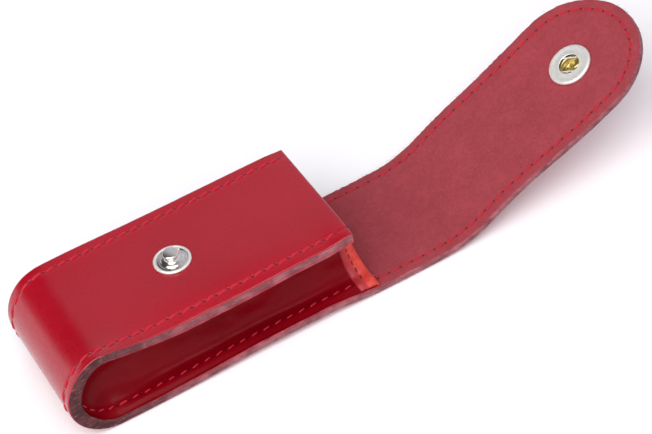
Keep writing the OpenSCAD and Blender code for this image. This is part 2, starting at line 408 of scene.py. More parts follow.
def map_range(tree, value, low, high, to_low=0.0, to_high=1.0):
    """Value mapped smoothly from one range to another, and held at its ends."""
    node = add(tree, "ShaderNodeMapRange", {"interpolation_type": "SMOOTHSTEP"}, Value=value)
    for name, number in zip(("From Min", "From Max", "To Min", "To Max"), (low, high, to_low, to_high)):
        node.inputs[name].default_value = number
    return node.outputs[0]


def tint(tree, base, value, low, high, amount, colour):
    """The base colour, mixed with another by up to amount as value goes from low to high."""
    return mix_colour(tree, map_range(tree, value, low, high, 0.0, amount), base, colour)


def stain(tree, base, mask, amount, colour):
    """The base colour, mixed with another by the given amount where the mask is 1."""
    return mix_colour(tree, math_node(tree, "MULTIPLY", mask, amount), base, colour)


def srgb(r, g, b):
    """Linear colour of an 8-bit sRGB colour."""
    def channel(value):
        value /= 255
        return value / 12.92 if value <= 0.04045 else ((value + 0.055) / 1.055) ** 2.4
    return (channel(r), channel(g), channel(b))


def seam_masks(tree):
    """Groove and hole masks along the stitch line, from the Seam UV map."""
    seam = add(tree, "ShaderNodeUVMap", {"uv_map": "Seam"}).outputs[0]
    parts = add(tree, "ShaderNodeSeparateXYZ", Vector=seam)
    across = math_node(tree, "ABSOLUTE", parts.outputs["Y"])
    groove = map_range(tree, across, 0.75, 0.1)
    beside = map_range(tree, across, 2.4, 0.6)
    phase = math_node(tree, "FRACT", parts.outputs["X"])
    to_hole = math_node(tree, "MINIMUM", phase, math_node(tree, "SUBTRACT", 1.0, phase))
    along = math_node(tree, "MULTIPLY", to_hole, STITCH_PITCH / MM)
    squared = math_node(tree, "ADD", math_node(tree, "POWER", along, 2.0),
                        math_node(tree, "POWER", across, 2.0))
    distance = math_node(tree, "SQRT", squared)
    hole = map_range(tree, distance, 0.46, 0.18)
    return groove, hole, beside


def leather_uv(tree):
    """The Leather UV map, in metres."""
    return add(tree, "ShaderNodeUVMap", {"uv_map": "Leather"}).outputs[0]


def bump_chain(tree, shader, layers):
    """Links a chain of bump nodes, each (height socket, distance in metres, strength), to the shader."""
    normal = None
    for height, distance, strength in layers:
        node = add(tree, "ShaderNodeBump", Height=height, Distance=distance, Strength=strength)
        if normal is not None:
            tree.links.new(normal, node.inputs["Normal"])
        normal = node.outputs[0]
    tree.links.new(normal, shader.inputs["Normal"])


def grain_leather(name, colour, deep, rough, grain_strength, gloss):
    """Smooth dyed grain leather: fine pores, soft creases, darker in the stitch groove, and painted shade
    in the stitch holes.
    """
    material, tree, shader = new_material(name)
    uv = leather_uv(tree)
    groove, hole, beside = seam_masks(tree)
    clouds = noise_node(tree, uv, 38.0, detail=4.0)
    dye_and_hole_shade = tint(tree, colour, clouds, 0.30, 0.72, 0.7, deep)
    specks = noise_node(tree, uv, 1500.0, detail=2.0)
    dye_and_hole_shade = tint(tree, dye_and_hole_shade, specks, 0.60, 0.78, 0.18, (0.02, 0.001, 0.002))
    dye_and_hole_shade = stain(tree, dye_and_hole_shade, beside, 0.25, tuple(min(1.0, value * 1.35) for value in colour))
    dye_and_hole_shade = stain(tree, dye_and_hole_shade, groove, 0.25, deep)
    # Painted shade: the stitch holes are darkened to stand for the shade inside them.
    dye_and_hole_shade = mix_colour(tree, hole, dye_and_hole_shade, (0.11, 0.001, 0.010))
    cells = add(tree, "ShaderNodeTexVoronoi", {"feature": "SMOOTH_F1"}, Vector=uv, Scale=1900.0,
                Smoothness=0.6).outputs["Distance"]
    pores = noise_node(tree, uv, 4200.0, detail=2.0)
    creases = noise_node(tree, uv, 300.0, detail=5.0, roughness=0.6, distortion=0.4)
    spread = map_range(tree, creases, 0.25, 0.75, rough - 0.03, rough + 0.05)
    set_inputs(tree, shader, Base_Color=dye_and_hole_shade, Roughness=math_node(tree, "MAXIMUM", spread, hole),
               Coat_Weight=0.4 * gloss, Coat_Roughness=0.16, Specular_IOR_Level=gloss)
    bump_chain(tree, shader, [
        (creases, 0.08 * MM, 0.22 * grain_strength),
        (cells, 0.05 * MM, 0.35 * grain_strength),
        (pores, 0.02 * MM, 0.35 * grain_strength),
        (math_node(tree, "MULTIPLY", hole, -1.0), 0.3 * MM, 0.5),
    ])
    return material


def flesh_leather():
    """Napped flesh side of the leather: matt, mottled and fibrous."""
    material, tree, shader = new_material("strip_flesh")
    uv = leather_uv(tree)
    groove, hole, _ = seam_masks(tree)
    clouds = noise_node(tree, uv, 120.0, detail=6.0, roughness=0.62)
    fibres = noise_node(tree, uv, 1500.0, detail=5.0, roughness=0.7, distortion=0.6)
    nap = noise_node(tree, uv, 480.0, detail=4.0, roughness=0.65)
    base = tint(tree, srgb(145, 53, 60), clouds, 0.30, 0.70, 1.0, srgb(156, 60, 68))
    base = tint(tree, base, nap, 0.38, 0.62, 0.45, srgb(128, 44, 52))
    base = tint(tree, base, fibres, 0.55, 0.72, 0.45, srgb(184, 92, 96))
    base = tint(tree, base, fibres, 0.42, 0.28, 0.50, srgb(90, 20, 30))
    base = stain(tree, base, groove, 0.55, srgb(170, 26, 44))
    # Painted shade: the stitch holes are darkened to stand for the shade inside them.
    base = stain(tree, base, hole, 0.8, srgb(74, 6, 14))
    set_inputs(tree, shader, Base_Color=base, Roughness=0.95, Specular_IOR_Level=0.2, Sheen_Weight=0.25,
               Sheen_Roughness=0.6, Sheen_Tint=(*srgb(235, 150, 150), 1.0))
    bump_chain(tree, shader, [
        (nap, 0.20 * MM, 0.6),
        (fibres, 0.12 * MM, 0.7),
        (math_node(tree, "MULTIPLY", hole, -1.0), 0.5 * MM, 0.8),
    ])
    return material


def cut_edge(name, light, dark):
    """Raw cut edge: fibres laid along the leather, browner towards the bend than towards the mouth."""
    material, tree, shader = new_material(name)
    place = add(tree, "ShaderNodeTexCoord").outputs["Object"]
    drawn = add(tree, "ShaderNodeMapping", Vector=place)
    drawn.inputs["Scale"].default_value = (0.3, 1.0, 1.0)
    fibres = noise_node(tree, drawn.outputs[0], 1500.0, detail=5.0, roughness=0.7)
    blotch = noise_node(tree, place, 240.0, detail=4.0)
    x = add(tree, "ShaderNodeSeparateXYZ", Vector=place).outputs["X"]
    from_bend = map_range(tree, x, -0.078, -0.045)
    brown = tint(tree, srgb(88, 44, 46), blotch, 0.32, 0.66, 1.0, srgb(60, 27, 29))
    base = tint(tree, light, blotch, 0.32, 0.66, 1.0, dark)
    base = mix_colour(tree, from_bend, brown, base)
    base = tint(tree, base, fibres, 0.52, 0.72, 0.35, srgb(190, 138, 144))
    base = tint(tree, base, fibres, 0.46, 0.28, 0.8, srgb(64, 24, 28))
    set_inputs(tree, shader, Base_Color=base, Roughness=0.75, Specular_IOR_Level=0.25)
    bump_chain(tree, shader, [(fibres, 0.22 * MM, 0.9)])
    return material


def binding_leather():
    """Thin orange-red skived leather, redder on its inner half, creased by its stitching."""
    material, tree, shader = new_material("binding_leather")
    uv = leather_uv(tree)
    clouds = noise_node(tree, uv, 420.0, detail=5.0, roughness=0.6)
    fine = noise_node(tree, uv, 2600.0, detail=3.0)
    back = add(tree, "ShaderNodeSeparateXYZ", Vector=uv).outputs["Y"]
    inner = map_range(tree, math_node(tree, "ADD", back, math_node(tree, "MULTIPLY", clouds, 1.2 * MM)),
                      2.4 * MM, 4.2 * MM)
    base = tint(tree, srgb(186, 38, 32), clouds, 0.32, 0.68, 1.0, srgb(204, 66, 48))
    base = mix_colour(tree, inner, base, srgb(158, 34, 40))
    base = tint(tree, base, fine, 0.55, 0.75, 0.35, srgb(150, 20, 26))
    set_inputs(tree, shader, Base_Color=base, Roughness=0.55)
    bump_chain(tree, shader, [(clouds, 0.15 * MM, 0.6), (fine, 0.05 * MM, 0.5)])
    return material


def thread_material(name, colour, dark):
    """Twisted sewing thread: diagonal plies and a faint nap."""
    material, tree, shader = new_material(name)
    uv = leather_uv(tree)
    plies = add(tree, "ShaderNodeTexWave", {"bands_direction": "DIAGONAL"}, Vector=uv, Scale=0.55,
                Distortion=0.4, Detail=1.0).outputs["Fac"]
    fuzz = noise_node(tree, uv, 9.0, detail=3.0)
    # Painted shade: the thread is darker in the grooves between its plies, the low parts of the same wave
    # that bumps them.
    base = tint(tree, dark, plies, 0.10, 0.60, 1.0, colour)
    base = tint(tree, base, fuzz, 0.4, 0.8, 0.3, dark)
    set_inputs(tree, shader, Base_Color=base, Roughness=0.6, Specular_IOR_Level=0.25, Sheen_Weight=0.1,
               Sheen_Roughness=0.5)
    bump_chain(tree, shader, [(plies, 0.06 * MM, 0.8), (fuzz, 0.03 * MM, 0.4)])
    return material


def metal(name, colour, worn, rough, brush):
    """Plated or bare metal with fine scratches and slight tarnish."""
    material, tree, shader = new_material(name)
    place = add(tree, "ShaderNodeTexCoord").outputs["Object"]
    tarnish = noise_node(tree, place, 700.0, detail=4.0)
    scratches = noise_node(tree, place, 5200.0, detail=3.0, roughness=0.7)
    base = tint(tree, colour, tarnish, 0.45, 0.75, 0.6, worn)
    spread = map_range(tree, scratches, 0.3, 0.7, rough * 0.75, rough * 1.3)
    set_inputs(tree, shader, Base_Color=base, Metallic=1.0, Roughness=spread)
    bump_chain(tree, shader, [(scratches, 0.01 * MM, brush)])
    return material


MATERIALS = {
    "grain": grain_leather("strip_grain", srgb(158, 6, 29), srgb(149, 1, 22), 0.27, 1.0, 0.5),
    "flesh": flesh_leather(),
    "edge": cut_edge("strip_edge", srgb(150, 92, 98), srgb(116, 62, 67)),
    # The gusset's dark red is partly its own leather and partly painted shade, standing for the shade in
    # its channel under the front panel.
    "gusset": grain_leather("gusset_grain_with_painted_shade", srgb(116, 2, 14), srgb(96, 0, 8), 0.30, 0.8, 0.08),
    "gusset_edge": cut_edge("gusset_edge", srgb(164, 70, 78), srgb(132, 44, 52)),
    "binding": binding_leather(),
    "thread": thread_material("seam_thread", srgb(206, 30, 54), srgb(140, 8, 26)),
    "dark_thread": thread_material("binding_thread", srgb(140, 16, 24), srgb(84, 6, 14)),
    "nickel": metal("bright_nickel", (0.78, 0.76, 0.71), (0.58, 0.54, 0.48), 0.20, 0.10),
    "satin": metal("satin_nickel", (0.90, 0.89, 0.84), (0.76, 0.75, 0.69), 0.62, 0.25),
    "brass": metal("pressed_brass", (0.55, 0.46, 0.22), (0.34, 0.26, 0.11), 0.30, 0.25),
    "wire": metal("spring_wire", (0.96, 0.95, 0.93), (0.80, 0.78, 0.76), 0.50, 0.15),
}


# ---------------------------------------------------------------- the leather strip

EDGE_ROUND = 0.38 * MM
GROOVE = 0.14 * MM
FLESH_ROUND = 0.45 * MM                 # rounding of the flesh side's worn corner on the flap
SEWN_ROUND = 0.05 * MM                  # and where it is sewn to a gusset
FRAY = 0.22 * MM                        # height of the frayed fibres on the flap's edge
SEWN_FRAY = 0.06 * MM                   # and on the case's edges
MOUTH_STEPS = [0.1 * MM, 0.3 * MM, 0.5 * MM]            # the mouth edge is rounded over these steps
MOUTH_INSETS = [0.16 * MM, 0.03 * MM, 0.0]
MOUTH_EDGE_INSET = 0.34 * MM
CASE_END_S = FRONT_L + BEND_L + GUSSET_LEAD - BEND_X    # the gussets lie on the strip up to here


def groove_depth(r):
    """Depth of the pressed stitch groove at distance r from the strip's middle line."""
    return GROOVE * math.exp(-(((r - SEAM_R) / (0.42 * MM)) ** 2))


def strip_profile(flesh_round):
    """Half cross-section of the strip as (r, d, slot): from its middle on the grain side, round the
    cut edge, to its middle on the flesh side."""
    radii = [r * MM for r in (0, 2, 4, 6, 8, 10, 12, 13.5, 14.8, 15.6, 16.15, 16.5, 16.75, 17,
                              17.25, 17.5, 17.85, 18.4, 19.1)]
    top = [(r, STRIP_T - groove_depth(r), GRAIN) for r in radii]
    corner = [(HALF_W - EDGE_ROUND * (1 - math.sin(a)), STRIP_T - EDGE_ROUND * (1 - math.cos(a)), GRAIN)
              for a in np.radians((0, 22, 45, 68))]
    wall = [(HALF_W, share * STRIP_T, EDGE) for share in (0.79, 0.65, 0.5, 0.35, 0.22)]
    low = [(HALF_W - 0.45 * flesh_round, 0.25 * flesh_round, EDGE), (HALF_W - flesh_round, 0, FLESH)]
    bottom = [(r, groove_depth(r) * 0.8, FLESH) for r in reversed(radii)]
    return top + corner + wall + low + bottom


def trim_error(x, side, z, fine):
    """Unevenness of the knife-cut edge: slow wander, and frayed fibres of the given height."""
    slow = 0.12 * MM * wave_noise(x, side * HALF_W, z, 7 * MM)
    return slow + fine * wave_noise(x, side * HALF_W, 1.7 * z, 0.9 * MM)


def rim_stations(c0, c1):
    """Stations from c0 to c1: close together at the mouth edge, under 1 mm apart elsewhere."""
    count = max(2, round((c1 - c0) / (0.9 * MM)))
    stations = list(np.linspace(c0, c1, count + 1))
    if c0 == 0:
        stations += MOUTH_STEPS[:-1]
    if c1 == RIM_L:
        stations += [RIM_L - step for step in MOUTH_STEPS[:-1]]
    return sorted(stations)


def strip_row(grid, c):
    """One row of the strip's vertices, round its half cross-section at rim station c."""
    inset = np.interp(min(c, RIM_L - c), [0] + MOUTH_STEPS, [MOUTH_EDGE_INSET] + MOUTH_INSETS)
    in_case = min(c, RIM_L - c) < CASE_END_S
    row = []
    for r, d, slot in strip_profile(SEWN_ROUND if in_case else FLESH_ROUND):
        reach = min(r, HALF_W - inset)
        depth = min(max(d, inset), STRIP_T - inset)
        s, y = rim_place(c, reach)
        place = strip_point(s, y, depth)
        if r > HALF_W - EDGE_ROUND:
            fray = SEWN_FRAY if in_case else FRAY
            error = trim_error(place.x, math.copysign(1, y), place.z, fray)
            s, y = rim_place(c, reach + error * (1.0 if slot == EDGE else 0.5))
            place = strip_point(s, y, depth)
        row.append(grid.vertex(place, (s, y), (c / STITCH_PITCH, (r - SEAM_R) / MM)))
    return row


def off_axis(place, centre, axis):
    """Distance of a place from an axis through centre."""
    offset = place - centre
    return (offset - axis * offset.dot(axis)).length


def punch(bm, centre, axis, radius):
    """Opens the leather round a fastener's post: removes faces near the axis and walls the hole."""
    def reaches_in(f):
        corners = [v.co for v in f.verts]
        return min(off_axis(place, centre, axis) for place in corners + [f.calc_center_median()]) < radius

    bm.faces.index_update()
    bm.edges.index_update()
    near = [v for v in bm.verts if abs((v.co - centre).dot(axis)) < 2 * STRIP_T
            and off_axis(v.co, centre, axis) < 4 * radius]
    inside = {f for v in near for f in v.link_faces if reaches_in(f)}
    rim = {e for f in inside for e in f.edges if any(g not in inside for g in e.link_faces)}
    rim = sorted(rim, key=lambda e: e.index)
    bmesh.ops.delete(bm, geom=sorted(inside, key=lambda f: f.index), context="FACES")
    wall = bmesh.ops.bridge_loops(bm, edges=rim)
    for f in wall["faces"]:
        f.material_index = EDGE


def strip_piece(name, ranges, centre, axis, radius):
    """One piece of the strip, over the given ranges of rim stations, punched for its fastener."""
    grid = GridMesh()
    slots = [slot for _, _, slot in strip_profile(FLESH_ROUND)][1:]
    for c0, c1 in ranges:
        rows = [strip_row(grid, c) for c in rim_stations(c0, c1)]
        grid.rows(rows, slots)
        for row in (rows[0], rows[-1]):
            grid.cap(row, EDGE)
    bm = grid.finish()
    punch(bm, centre, axis, radius)
    return make_object(name, bm, ["grain", "flesh", "edge"])


# ---------------------------------------------------------------- stitches

class StitchMesh:
    """Collects stitches: each a short bowed thread whose ends dip into the leather."""

    SIDES = 8
    SINK = 0.77                         # how far the ends dip, in thread diameters

    def __init__(self):
        self.bm = bmesh.new()
        self.uv = self.bm.loops.layers.uv.new("Leather")

    def stitch(self, place, outward, length, diameter, slant):
        """Adds one stitch, an oval tube flattened against the leather. place(t, across, up) gives the
        point t along the stitch, across it and up from its bed; outward is the sign of up."""
        rings = []
        for t in np.linspace(-0.5, 0.5, 9):
            taper = math.sqrt(max(0.0, 1 - (abs(t) * 2) ** 6))
            width = diameter * (0.45 + 0.55 * taper)
            lift = diameter * (0.20 - self.SINK * (abs(t) * 2) ** 4)
            ring = []
            for k in range(self.SIDES):
                a = 2 * math.pi * k / self.SIDES
                across = slant * t * length + 0.5 * width * math.cos(a)
                up = outward * (lift + 0.40 * width * math.sin(a))
                ring.append(self.bm.verts.new(place(t * length, across, up)))
            rings.append(ring)
        for number, wall in enumerate(skin(self.bm, rings)):
            i, k = divmod(number, self.SIDES)
            for loop, (u, v) in zip(wall.loops, ((i, k), (i, k + 1), (i + 1, k + 1), (i + 1, k))):
                loop[self.uv].uv = (u * length / MM / 3, v * 0.7)

    def finish(self, name, thread):
        """Turns the collected stitches into an object with this thread's finish."""
        bmesh.ops.recalc_face_normals(self.bm, faces=self.bm.faces)
        return make_object(name, self.bm, [thread], smooth_angle=60)


def rim_stitches(name, c0, c1, faces):
    """Stitches along the rim from station c0 to c1, on faces given as (depth, outward, diameter)."""
    threads = StitchMesh()
    first = math.ceil(c0 / STITCH_PITCH + 0.2)
    last = math.floor(c1 / STITCH_PITCH - 0.2)
    for n in range(first, last):
        middle = (n + 0.5) * STITCH_PITCH
        wander = RNG.uniform(-0.10, 0.10) * MM
        slant = RNG.uniform(0.10, 0.26)
        for depth, outward, diameter in faces:

            def place(t, across, up, middle=middle, depth=depth, wander=wander):
                return rim_point(middle + t, SEAM_R + wander + across, depth(middle) + up)

            length = STITCH_L * RNG.uniform(0.92, 1.02)
            threads.stitch(place, outward, length, diameter, slant * outward)
    return threads.finish(name, "thread")


# ---------------------------------------------------------------- gussets and their binding

CHANNEL_R = MID_Z - STRIP_T - GUSSET_T
FLANGE_D = 4.2 * MM                     # how far in the gusset lies flat against the strip
BOWL_FLANGE_D = 1.2 * MM                # the same round the bend, where the gusset is a bowl
BOWL_RUN = 16 * MM                      # the bowl fades out over this distance from the bend
FOLD_POWER = 2.4                        # squareness of the gusset's folds
BOWL_POWER = 1.9
SKIVE_RUN = 2.2 * MM                    # the flange is thinned over this distance from its edge
FRONT_SKIVE = 0.7 * MM
BACK_SKIVE = 0.95 * MM
MOUTH_SLOPE = (GUSSET_LEAD + 0.5 * MM) / (CASE_H - 2 * STRIP_T)
MOUTH_REACH = GUSSET_LEAD - BEND_X


def mouth_x(z):
    """Where the gusset's mouth edge lies at height z."""
    return GUSSET_LEAD - (z - STRIP_T) * MOUTH_SLOPE


def channel_curve(bowl=0.0):
    """Half of the gusset's channel as (reach from the mid plane, depth), from the rim to the middle."""
    flange = mix(FLANGE_D, BOWL_FLANGE_D, bowl)
    power = 2 / mix(FOLD_POWER, BOWL_POWER, bowl)
    points = [(CHANNEL_R, flange * share) for share in (0, 0.03, 0.1, 0.2, 0.35, 0.5, 0.62, 0.7, 0.8, 0.9)]
    for turn in np.linspace(0, math.pi / 2, 20):
        reach = CHANNEL_R * max(math.cos(turn), 0) ** power
        points.append((reach, flange + (GUSSET_DEPTH - flange) * math.sin(turn) ** power))
    return points


def offset_curve(points, distance):
    """The curve moved by distance to its outer side: away from the channel."""
    moved = []
    for i, (r, d) in enumerate(points):
        r0, d0 = points[max(i - 1, 0)]
        r1, d1 = points[min(i + 1, len(points) - 1)]
        length = math.hypot(r1 - r0, d1 - d0)
        moved.append((r + (d1 - d0) / length * distance, d - (r1 - r0) / length * distance))
    moved[0] = (points[0][0] + distance, 0.0)
    moved[-1] = (0.0, points[-1][1] + distance)
    return moved


def gusset_stations():
    """Stations round the U of the gusset, each (share, angle): share 1 is at the mouth, 0 at the bend."""
    shares = list(np.linspace(1, 0, 90))
    front = [(share, 0.0) for share in shares]
    bend = [(0.0, angle) for angle in np.linspace(0, math.pi, 49)[1:-1]]
    back = [(share, math.pi) for share in reversed(shares)]
    return front + bend + back


def gusset_seam(share, angle):
    """How far along the strip lies the place against this station of the gusset."""
    if angle == 0:
        return FRONT_L * (1 - share)
    back = max(0.0, share * (mouth_x(STRIP_T) - BEND_X))
    return FRONT_L + BEND_L * angle / math.pi + back


def flange_skive(angle, depth):
    """How much thinner the flange is than the gusset leather, at this depth from its edge."""
    front = FRONT_SKIVE * smooth(1 - angle / 1.2)
    back = BACK_SKIVE * smooth(angle - math.pi + 1)
    return (front + back) * (1 - smooth(depth / SKIVE_RUN))


def gusset_point(side, share, angle, reach, depth):
    """Place of a point of a gusset; side is -1 for the near one."""
    z = MID_Z + reach * math.cos(angle)
    x = BEND_X - reach * math.sin(angle) + share * (mouth_x(z) - BEND_X)
    y = side * (HALF_W - depth)
    looseness = smooth((depth - 2.5 * MM) / (3 * MM))
    dent = 0.5 * MM * bell(x, BEND_X + 1 * MM, 7 * MM) * bell(z, MID_Z + 2.5 * MM, 5 * MM)
    wrinkles = 0.40 * MM * wave_noise(x, side * HALF_W, 1.5 * z, 14 * MM)
    wrinkles += 0.16 * MM * wave_noise(x, side * HALF_W, 1.3 * z, 4.5 * MM)
    shift = looseness * (dent + wrinkles)
    rise = shell_rise(gusset_seam(share, angle), y) * min(reach / CHANNEL_R, 1.0) ** 2
    return Vector((x - rise * math.sin(angle), y + side * shift, z + rise * math.cos(angle)))


def gusset_row(grid, side, share, angle):
    """One row of a gusset's vertices: its channel face from the rim to the middle, and its back."""
    bowl = 1.0 if angle not in (0.0, math.pi) else smooth(1 - share * (MOUTH_REACH / BOWL_RUN))
    seam = gusset_seam(share, angle)
    inner = channel_curve(bowl)
    outer = offset_curve(inner, GUSSET_T)
    run = 0.0
    last = inner[0]
    face, back = [], []
    for place, behind in zip(inner, outer):
        run += math.dist(last, place)
        last = place
        reach = place[0] + flange_skive(angle, place[1]) - groove_depth(HALF_W - run)
        face.append((gusset_point(side, share, angle, reach, place[1]), run))
        back.append((gusset_point(side, share, angle, behind[0], behind[1]), run))
    rim = [(face[0][0].lerp(back[0][0], part), -part * MM) for part in (0.75, 0.5, 0.25)]
    row = []
    for place, along in face + back[::-1] + rim:
        if abs(place.y) > HALF_W - 0.6 * MM:
            share_of_error = 1 if abs(place.y) > HALF_W - 0.01 * MM else 0.4
            place.y += side * share_of_error * trim_error(place.x, side, place.z, 0.07 * MM)
        row.append(grid.vertex(place, (seam, along), (seam / STITCH_PITCH, (STITCH_MARGIN - along) / MM)))
    return row


def make_gusset(name, side):
    """Folded side gusset: a closed sheet from its flanges on the strip's edges to its web."""
    grid = GridMesh()
    rows = [gusset_row(grid, side, share, angle) for share, angle in gusset_stations()]
    half = len(channel_curve())
    slots = [GRAIN] * (half - 1) + [None] + [FLESH] * (half - 1) + [EDGE] * 4
    for a, b in zip(rows, rows[1:]):
        for j, slot in enumerate(slots):
            k = (j + 1) % len(a)
            if slot is not None:
                grid.face([a[j], a[k], b[k], b[j]], slot)
    for row in (rows[0], rows[-1]):
        grid.cap(row[:2 * half], EDGE)
        grid.face([row[0]] + row[:2 * half - 2:-1], EDGE)
    return make_object(name, grid.finish(), ["gusset", "flesh", "gusset_edge"])


def mouth_curve():
    """The gusset's channel at its mouth, from front rim to back rim, as (height, depth, run)."""
    half = channel_curve()[2:]
    whole = half + [(-reach, depth) for reach, depth in reversed(half[:-1])]
    runs = [0.0]
    for a, b in zip(whole, whole[1:]):
        runs.append(runs[-1] + math.dist(a, b))
    return np.array([(height, depth, run) for (height, depth), run in zip(whole, runs)])


NO_SEAM = (0.5, 9)                      # a place far from any stitch line
MOUTH = mouth_curve()
MOUTH_RUN = MOUTH[-1][2]
BINDING_T = 0.55 * MM
BINDING_TOP_W = 2.4 * MM                # width of the band at the front panel
BINDING_LOW_W = 5.0 * MM                # and at the back panel
BINDING_PITCH = 2.6 * MM
BINDING_STITCH_L = 1.9 * MM
BINDING_THREAD_D = 0.45 * MM
BINDING_TOP = [(1.0, 0.0), (0.97, 0.6), (0.88, 1.0), (0.72, 1.15), (0.55, 0.95), (0.5, 0.8), (0.45, 0.95),
               (0.3, 1.2), (0.1, 1.1), (-0.06, 0.7), (-0.12, 0.0)]      # share of width, share of thickness


def channel_at(run):
    """Height from the mid plane and depth of the channel's face at its mouth, at this run."""
    run = min(max(run, 0.0), MOUTH_RUN)
    return np.array([np.interp(run, MOUTH[:, 2], MOUTH[:, 0]), np.interp(run, MOUTH[:, 2], MOUTH[:, 1])])


def binding_point(side, run, back, up):
    """Point of the binding: back is a share of its width from the mouth edge, up is off the channel."""
    height, depth = channel_at(run)
    along = channel_at(run + 0.3 * MM) - channel_at(run - 0.3 * MM)
    along /= np.linalg.norm(along)
    angle = 0.0 if height >= 0 else math.pi
    base = gusset_point(side, 1.0, angle, abs(height) + flange_skive(angle, depth), depth)
    width = mix(BINDING_TOP_W, BINDING_LOW_W, smooth(run / MOUTH_RUN))
    if up > 0:
        up *= 1 + 0.35 * wave_noise(run, back * 2 * width, side * HALF_W, 2.4 * MM)
    return base + Vector((-back * width, -side * along[0] * up, -along[1] * up))


def binding_section(run):
    """Closed section of the binding as (back, up): over the channel's face, round the edge and behind."""
    depth = channel_at(run)[1]
    thick = GUSSET_T - flange_skive(0.0 if run < MOUTH_RUN / 2 else math.pi, depth)
    behind = thick + BINDING_T if depth > FLANGE_D + 2 * MM else thick * 0.8
    front = [(back, up * BINDING_T) for back, up in BINDING_TOP]
    nose = [(-0.12, -thick * 0.5), (-0.08, -behind * 0.8)]
    return front + nose + [(0.05, -behind), (0.8, -behind), (0.9, -behind * 0.9), (0.9, -0.1 * MM)]


def make_binding(name, side):
    """Leather binding folded over the gusset's mouth edge."""
    grid = GridMesh()
    rows = []
    for run in np.linspace(0, MOUTH_RUN, 57):
        rows.append([])
        for back, up in binding_section(run):
            leather = (run, back * BINDING_LOW_W + min(up, 0))
            rows[-1].append(grid.vertex(binding_point(side, run, back, up), leather, NO_SEAM))
    grid.rows(rows, [0] * len(rows[0]), close=True)
    for row in (rows[0], rows[-1]):
        grid.face(row, 0)
    return make_object(name, grid.finish(), ["binding"], smooth_angle=50)


def binding_stitches(name, side):
    """Short dark stitches along the middle of the binding."""
    threads = StitchMesh()
    count = int((MOUTH_RUN - 3 * MM) / BINDING_PITCH)
    for n in range(count):
        middle = MOUTH_RUN / 2 + (n - (count - 1) / 2) * BINDING_PITCH

        def place(t, across, up, middle=middle):
            return binding_point(side, middle + t, 0.5 + across / (4 * MM), 0.7 * BINDING_T + up)

        threads.stitch(place, 1, BINDING_STITCH_L, BINDING_THREAD_D, 0.12)
    return threads.finish(name, "dark_thread")


# ---------------------------------------------------------------- snap fastener

RIVET_HOLE_R = 1.5 * MM
POST_HOLE_R = 3.05 * MM
STUD_AT = Matrix.Translation(Vector((STUD_X, 0, CASE_H)))
RIVET_AT = Matrix.Translation(Vector((STUD_X, 0, CASE_H - STRIP_T)))
FLAP_AT = Matrix.Translation(FOLD_B) @ Matrix.Rotation(-CURL, 4, "Y")     # x along its free part
SNAP_AT = FLAP_AT @ Matrix.Translation(Vector((SNAP_REACH, 0, 0)))


def metal_piece(name, bm, at, finishes, rim=math.inf):
    """Puts a turned or bent piece in its place; beyond radius rim its faces take the second finish."""
    for f in bm.faces:
        f.material_index = int(f.calc_center_median().xy.length > rim)
    bmesh.ops.transform(bm, matrix=at, verts=bm.verts)
    return make_object(name, bm, finishes, smooth_angle=50)


def make_stud():
    """Stud: dished flange with a rolled rim and pressed rings, hollow neck and rounded head."""
    head = arc(1.75, 2.72, 0.5, 80, -60, 9)
    neck = [(1.78, 2.15), (1.74, 1.5), (1.82, 1.15), (2.1, 0.92), (2.45, 0.82), (2.75, 0.80)]
    rings = [(2.95, 0.68), (3.1, 0.50), (3.35, 0.42), (3.55, 0.46), (3.72, 0.42), (3.95, 0.34), (4.2, 0.36)]
    rim = arc(4.65, 0.38, 0.45, 160, -60, 12)
    bm = lathe([(0, 3.2)] + head + neck + rings + rim + [(4.6, 0.0), (0, 0.0)])
    # The rolled rim beyond 4.3 mm takes the satin finish: partly a rougher finish, and partly a painted
    # highlight, its lighter colour standing for the bright reflection the rim shows all round.
    return metal_piece("stud", bm, STUD_AT, ["nickel", "satin"], rim=4.3 * MM)


def make_rivet():
    """Rivet inside the front panel that holds the stud, with a shallow dished flange."""
    rim = arc(3.95, -0.32, 0.25, 90, -90, 7)
    tube = [(1.45, -0.05), (1.45, 3.9), (1.0, 3.9), (1.0, -0.1)]
    dish = [(0.75, -0.45), (1.0, -0.62), (2.0, -0.66)]
    return metal_piece("stud_rivet_head", lathe(rim + tube + dish), RIVET_AT, ["nickel"])


def make_socket():
    """Socket ring on the flap: rolled rim, flat face falling gently to the turned-in opening."""
    outer = arc(5.62, 0.58, 0.58, -85, 95, 13)
    face = [(5.3, 1.18), (5.05, 1.12), (4.4, 1.10), (3.7, 1.10), (3.35, 1.14)]
    lip = arc(3.18, 0.98, 0.17, 80, 250, 8)
    inside = [(3.3, 0.84), (4.9, 0.86), (4.95, 0.2), (3.1, 0.2), (3.1, 0.0)]
    return metal_piece("socket", lathe(outer + face + lip + inside), SNAP_AT, ["satin"])


WIRE_TURN = math.radians(-48)           # direction of the wires in the socket
WIRE_HALF_L = 3.7 * MM
WIRE_R = 0.22 * MM


def make_wire(name, node):
    """Spring wire across the socket's opening: straight, with its ends bent down into the socket."""
    low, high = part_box(node)
    centre = SNAP_AT.inverted() @ ((low + high) / 2)
    along = Vector((math.cos(WIRE_TURN), math.sin(WIRE_TURN), 0))
    across = Vector((-along.y, along.x, 0))
    turns = np.linspace(0, 2 * math.pi, 13)[:-1]
    bm = bmesh.new()
    rings = []
    for t in np.linspace(-1, 1, 21):
        bend = max(0.0, abs(t) - 0.86) / 0.14
        point = centre + along * (t * WIRE_HALF_L) - UP * (0.06 * MM * bend * bend)
        rings.append(tube_ring(bm, point, across, UP, WIRE_R, turns))
    skin(bm, rings)
    bmesh.ops.recalc_face_normals(bm, faces=bm.faces)
    return metal_piece(name, bm, SNAP_AT, ["wire"])


PETALS = 6                              # pressed petals in the floor of the post


